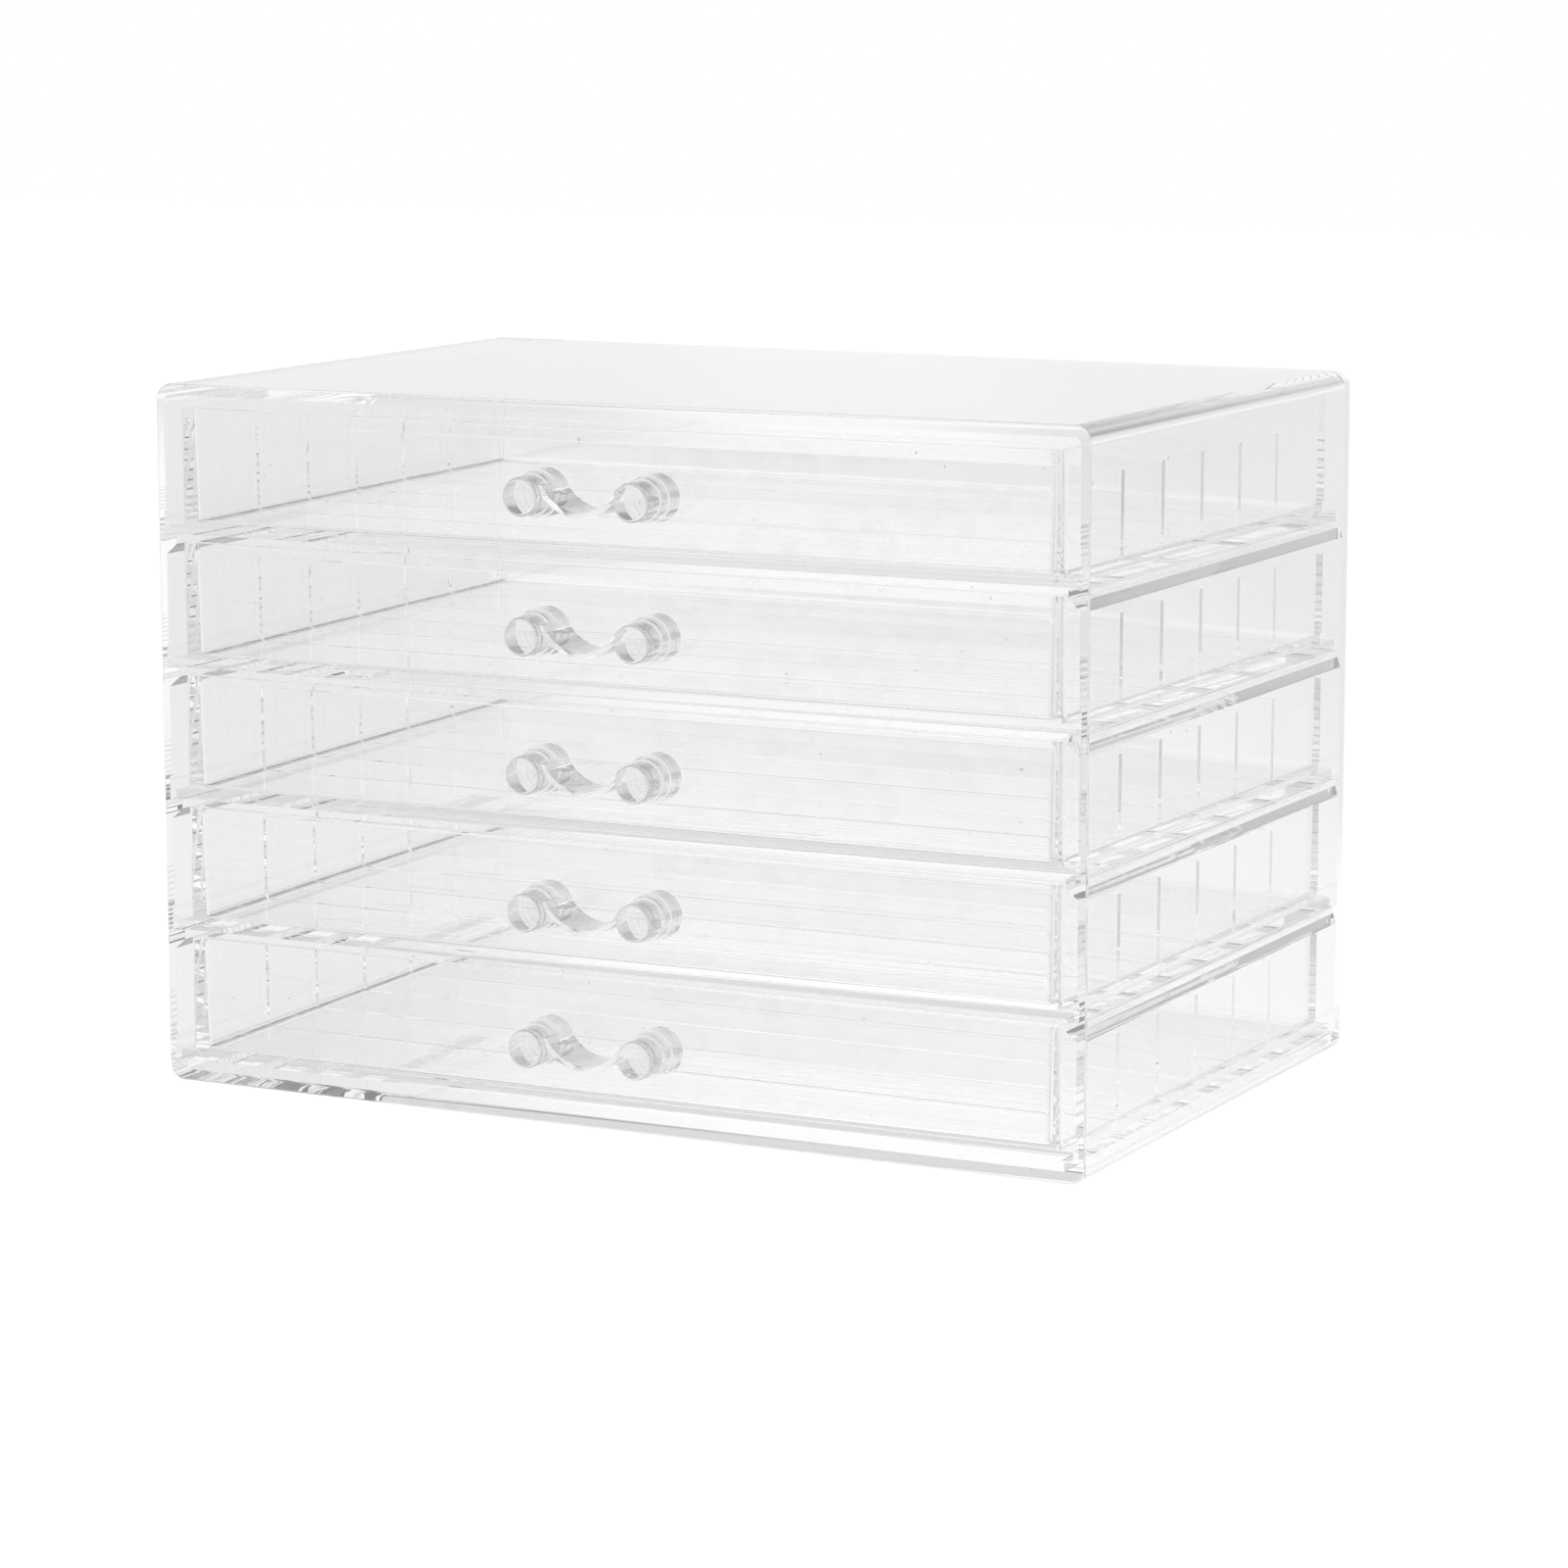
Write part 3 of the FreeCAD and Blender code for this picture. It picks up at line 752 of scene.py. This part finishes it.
def set_world(look):
    """White where the camera looks past the object, and softly uneven round about."""
    world = bpy.data.worlds.new("studio")
    bpy.context.scene.world = world
    world.use_nodes = True
    nodes = world.node_tree.nodes
    link = world.node_tree.links.new
    nodes.clear()
    output = nodes.new("ShaderNodeOutputWorld")
    background = nodes.new("ShaderNodeBackground")
    background.inputs["Color"].default_value = (1, 1, 1, 1)
    place = nodes.new("ShaderNodeTexCoord").outputs["Generated"]
    path = nodes.new("ShaderNodeLightPath")
    height = facing(nodes, link, place, (0, 0, 1))
    light = ramp(nodes, link, height, HORIZON, (look.backdrop, look.above))
    for brightness, heights in ((look.gap, GAP_FOOT), (look.overhead, OVERHEAD_FOOT)):
        inside = ramp(nodes, link, height, heights, (0.0, 1.0))
        light = blend_values(nodes, link, inside, light, brightness)
    areas = ((look.window, -look.window_turn, look.window_rise, look.window_size),
             (look.room, look.room_turn, look.room_rise, look.room_size))
    for brightness, turn, rise, size in areas:
        towards = facing(nodes, link, place, direction(turn, rise))
        edges = [math.cos(size * part) for part in AREA_EDGE]
        inside = ramp(nodes, link, towards, edges, (0.0, 1.0))
        light = blend_values(nodes, link, inside, light, brightness)
    light = blend_values(nodes, link, path.outputs["Is Camera Ray"], light, 1.0)
    link(light, background.inputs["Strength"])
    link(background.outputs[0], output.inputs["Surface"])


def set_floor(look):
    """A white floor that keeps the object's shadow, with a wide pool of light painted into its
    glow.
    """
    deselect()
    bpy.ops.mesh.primitive_plane_add(size=FLOOR_WIDTH, location=(0, 0, -FLOOR_DROP))
    floor = bpy.context.object
    floor.name = "floor"
    bpy.ops.object.transform_apply(location=True, rotation=True, scale=True)
    material = bpy.data.materials.new("white_floor")
    material.use_nodes = True
    nodes = material.node_tree.nodes
    link = material.node_tree.links.new
    nodes.clear()
    output = nodes.new("ShaderNodeOutputMaterial")
    matt = nodes.new("ShaderNodeBsdfDiffuse")
    matt.inputs["Color"].default_value = (FLOOR_PAINT, FLOOR_PAINT, FLOOR_PAINT, 1)
    white = nodes.new("ShaderNodeEmission")
    path = nodes.new("ShaderNodeLightPath")
    place = nodes.new("ShaderNodeTexCoord").outputs["Object"]
    # Painted pool of light: the glow fades far behind the object and at both sides.
    behind = facing(nodes, link, place, direction(-look.camera_turn, 0.0))
    pool = ramp(nodes, link, behind, POOL_BACK, (look.floor_pool_near, look.floor_pool_back))
    aside = facing(nodes, link, place, direction(math.radians(90) - look.camera_turn, 0.0))
    for ends, results in ((POOL_LEFT, (look.floor_pool_sides, 1.0)),
                          (POOL_RIGHT, (1.0, look.floor_pool_sides))):
        pool = multiply(nodes, link, pool, ramp(nodes, link, aside, ends, results))
    # The camera sees an even glow, and every other ray sees the painted pool.
    strength = blend_values(nodes, link, path.outputs["Is Camera Ray"], pool, look.floor_seen)
    link(strength, white.inputs["Strength"])
    both = nodes.new("ShaderNodeAddShader")
    link(matt.outputs[0], both.inputs[0])
    link(white.outputs[0], both.inputs[1])
    link(both.outputs[0], output.inputs["Surface"])
    floor.data.materials.append(material)


def set_render():
    scene = bpy.context.scene
    scene.view_settings.view_transform = "Standard"
    cycles = scene.cycles
    cycles.max_bounces = MOST_BOUNCES
    cycles.transmission_bounces = MOST_BOUNCES
    cycles.glossy_bounces = MOST_BOUNCES
    cycles.transparent_max_bounces = MOST_CLEAR_FACES
    cycles.diffuse_bounces = MOST_MATT_BOUNCES


class DRAWERBOX_OT_case(Operator):
    """Models the clear case with its runner rails"""
    bl_idname = "drawerbox.make_case"
    bl_label = "Case"

    def execute(self, context):
        finish_piece(make_case(context.scene.drawerbox_case), CASE_NODE, "clear_case")
        return {"FINISHED"}


class DRAWERBOX_OT_trays(Operator):
    """Models one drawer tray and copies it to every level"""
    bl_idname = "drawerbox.make_trays"
    bl_label = "Drawer trays"

    def execute(self, context):
        first = f"{TRAY_PREFIX}{DRAWER_NUMBERS[0]}"
        pattern = make_tray(context.scene.drawerbox_tray, first)
        for number in DRAWER_NUMBERS:
            node = f"{TRAY_PREFIX}{number}"
            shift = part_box(node)[0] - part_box(first)[0]
            tray = copy_piece(pattern, f"clear_drawer_tray_{number}", shift)
            finish_piece(tray, node, "clear_tray")
        bpy.data.objects.remove(pattern, do_unlink=True)
        return {"FINISHED"}


class DRAWERBOX_OT_handles(Operator):
    """Models one handle and copies it to every drawer"""
    bl_idname = "drawerbox.make_handles"
    bl_label = "Drawer handles"

    def execute(self, context):
        first = f"{HANDLE_PREFIX}{DRAWER_NUMBERS[0]}"
        pattern = make_handle(context.scene.drawerbox_handle, first)
        for number in DRAWER_NUMBERS:
            node = f"{HANDLE_PREFIX}{number}"
            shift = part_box(node)[0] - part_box(first)[0]
            handle = copy_piece(pattern, f"clear_drawer_handle_{number}", shift)
            finish_piece(handle, node, "clear_handle")
        bpy.data.objects.remove(pattern, do_unlink=True)
        return {"FINISHED"}


class DRAWERBOX_OT_stage(Operator):
    """Sets the camera, the light, the floor and the materials"""
    bl_idname = "drawerbox.set_stage"
    bl_label = "Stage"

    def execute(self, context):
        look = context.scene.drawerbox_stage
        set_render()
        set_camera(look)
        set_world(look)
        set_floor(look)
        make_plastics(context.scene.drawerbox_plastic)
        return {"FINISHED"}


STEPS = (DRAWERBOX_OT_stage, DRAWERBOX_OT_case, DRAWERBOX_OT_trays, DRAWERBOX_OT_handles)


class DRAWERBOX_PT_panel(Panel):
    """The box's sizes and the steps that make it"""
    bl_idname = "DRAWERBOX_PT_panel"
    bl_label = "Drawer Box"
    bl_space_type = "VIEW_3D"
    bl_region_type = "UI"
    bl_category = "Drawer Box"

    def draw(self, context):
        for step in STEPS:
            self.layout.operator(step.bl_idname)


GROUPS = {
    "drawerbox_case": CaseSizes,
    "drawerbox_tray": TraySizes,
    "drawerbox_handle": HandleSizes,
    "drawerbox_plastic": PlasticLook,
    "drawerbox_stage": StageLook,
}


def register():
    for group in GROUPS.values():
        bpy.utils.register_class(group)
    for name, group in GROUPS.items():
        setattr(bpy.types.Scene, name, PointerProperty(type=group))
    for step in STEPS:
        bpy.utils.register_class(step)
    bpy.utils.register_class(DRAWERBOX_PT_panel)


def unregister():
    bpy.utils.unregister_class(DRAWERBOX_PT_panel)
    for step in reversed(STEPS):
        bpy.utils.unregister_class(step)
    for name, group in GROUPS.items():
        delattr(bpy.types.Scene, name)
        bpy.utils.unregister_class(group)


def main():
    register()
    bpy.ops.drawerbox.set_stage()
    bpy.ops.drawerbox.make_case()
    bpy.ops.drawerbox.make_trays()
    bpy.ops.drawerbox.make_handles()


if __name__ == "__main__":
    main()
